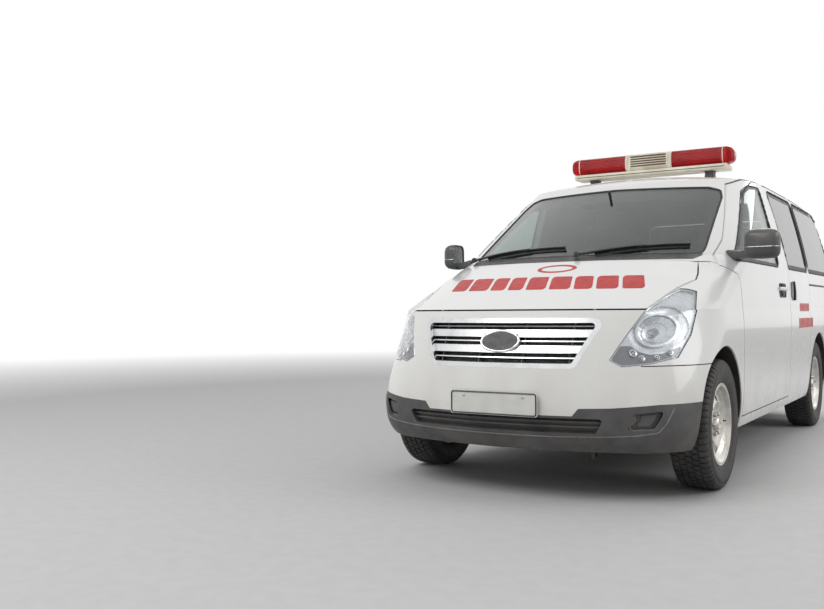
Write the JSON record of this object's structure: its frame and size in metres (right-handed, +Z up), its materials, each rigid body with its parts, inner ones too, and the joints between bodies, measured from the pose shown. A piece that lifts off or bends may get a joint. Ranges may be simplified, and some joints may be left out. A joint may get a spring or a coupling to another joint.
{
  "type": "van ambulance",
  "caption": "Van ambulance with a roof light bar, opening cab doors, hood and tailgate, steered front wheels and a hollow cab and load space",
  "frame": {"origin": "on the ground, on the van's centre plane, midway between the ends of its two bumpers", "axes": "+Z up, -Y is the front of the van, +X is its left side"},
  "size_m": [2.2162, 5.1394, 2.1559],
  "materials": {
    "paint": "white gloss paint",
    "bumper_paint": "white painted plastic",
    "underseal": "dark underseal",
    "trim": "dark grey grained plastic",
    "bright_trim": "bright trim",
    "lamp_lens": "clear lamp cover over a bright reflector",
    "glass": "clear safety glass",
    "dark_glass": "dark tinted glass",
    "red_lens": "red transparent plastic",
    "cream_plastic": "cream plastic",
    "frame_steel": "black frame paint",
    "iron": "cast iron",
    "exhaust_steel": "dull steel",
    "tank_plastic": "black plastic",
    "cabin_plastic": "grey cabin plastic",
    "seat_cloth": "grey seat cloth",
    "bench_vinyl": "blue vinyl cover",
    "plate": "blank plate",
    "flap_rubber": "black rubber",
    "tyre": "tyre rubber",
    "wheel_paint": "silver wheel paint"
  },
  "bodies": {
    "van": {"body_shell": "paint", "chassis_frame": "frame_steel", "dashboard": "cabin_plastic", "drive_shaft": "frame_steel", "engine": "iron", "exhaust": "exhaust_steel", "fenders": "paint", "floor_pan": "underseal", "front_bumper": "bumper_paint", "front_bumper_lower": "trim", "front_plate": "plate", "front_seats": "seat_cloth", "front_suspension": "frame_steel", "fuel_tank": "tank_plastic", "grille": "bright_trim", "headlamps": "lamp_lens", "light_bar_base": "cream_plastic", "light_bar_lenses": "red_lens", "mud_flaps": "flap_rubber", "rear_axle": "iron", "rear_bench": "bench_vinyl", "rear_bumper": "bumper_paint", "side_windows": "dark_glass", "sliding_doors": "paint", "steering_wheel": "cabin_plastic", "tail_lamps": "red_lens", "windshield": "glass", "wipers": "trim"},
    "hood": {"hood": "paint"},
    "tailgate": {"tailgate": "paint", "tailgate_window": "dark_glass", "rear_plate": "plate"},
    "front_door_left": {"front_door_left": "paint", "front_window_left": "glass", "mirror_left": "trim"},
    "front_door_right": {"front_door_right": "paint", "front_window_right": "glass", "mirror_right": "trim"},
    "knuckle_left": {"knuckle_left": "iron"},
    "knuckle_right": {"knuckle_right": "iron"},
    "wheel_front_left": {"tyre_front_left": "tyre", "rim_front_left": "wheel_paint"},
    "wheel_front_right": {"tyre_front_right": "tyre", "rim_front_right": "wheel_paint"},
    "wheel_rear_left": {"tyre_rear_left": "tyre", "rim_rear_left": "wheel_paint"},
    "wheel_rear_right": {"tyre_rear_right": "tyre", "rim_rear_right": "wheel_paint"}
  },
  "joints": [
    {"name": "steer_left", "type": "hinge", "parent": "van", "child": "knuckle_left", "pos_m": [0.755, -1.682, 0.353], "axis": [0, 0, 1], "range_deg": [-32, 32]},
    {"name": "steer_right", "type": "hinge", "parent": "van", "child": "knuckle_right", "pos_m": [-0.755, -1.682, 0.353], "axis": [0, 0, 1], "range_deg": [-32, 32]},
    {"name": "roll_front_left", "type": "hinge", "parent": "knuckle_left", "child": "wheel_front_left", "pos_m": [0.842, -1.682, 0.353], "axis": [1, 0, 0], "continuous": true},
    {"name": "roll_front_right", "type": "hinge", "parent": "knuckle_right", "child": "wheel_front_right", "pos_m": [-0.842, -1.682, 0.353], "axis": [1, 0, 0], "continuous": true},
    {"name": "roll_rear_left", "type": "hinge", "parent": "van", "child": "wheel_rear_left", "pos_m": [0.83, 1.518, 0.353], "axis": [1, 0, 0], "continuous": true},
    {"name": "roll_rear_right", "type": "hinge", "parent": "van", "child": "wheel_rear_right", "pos_m": [-0.83, 1.518, 0.353], "axis": [1, 0, 0], "continuous": true},
    {"name": "open_door_left", "type": "hinge", "parent": "van", "child": "front_door_left", "pos_m": [0.946, -1.3015, 0.9], "axis": [0, 0, -1], "range_deg": [0, 65]},
    {"name": "open_door_right", "type": "hinge", "parent": "van", "child": "front_door_right", "pos_m": [-0.946, -1.3015, 0.9], "axis": [0, 0, 1], "range_deg": [0, 65]},
    {"name": "open_hood", "type": "hinge", "parent": "van", "child": "hood", "pos_m": [0, -1.452, 1.252], "axis": [-1, 0, 0], "range_deg": [0, 50]},
    {"name": "open_tailgate", "type": "hinge", "parent": "van", "child": "tailgate", "pos_m": [0, 2.368, 1.815], "axis": [1, 0, 0], "range_deg": [0, 85]}
  ],
  "couplings": [
    {"joint": "steer_right", "follows": "steer_left", "ratio": 1}
  ]
}
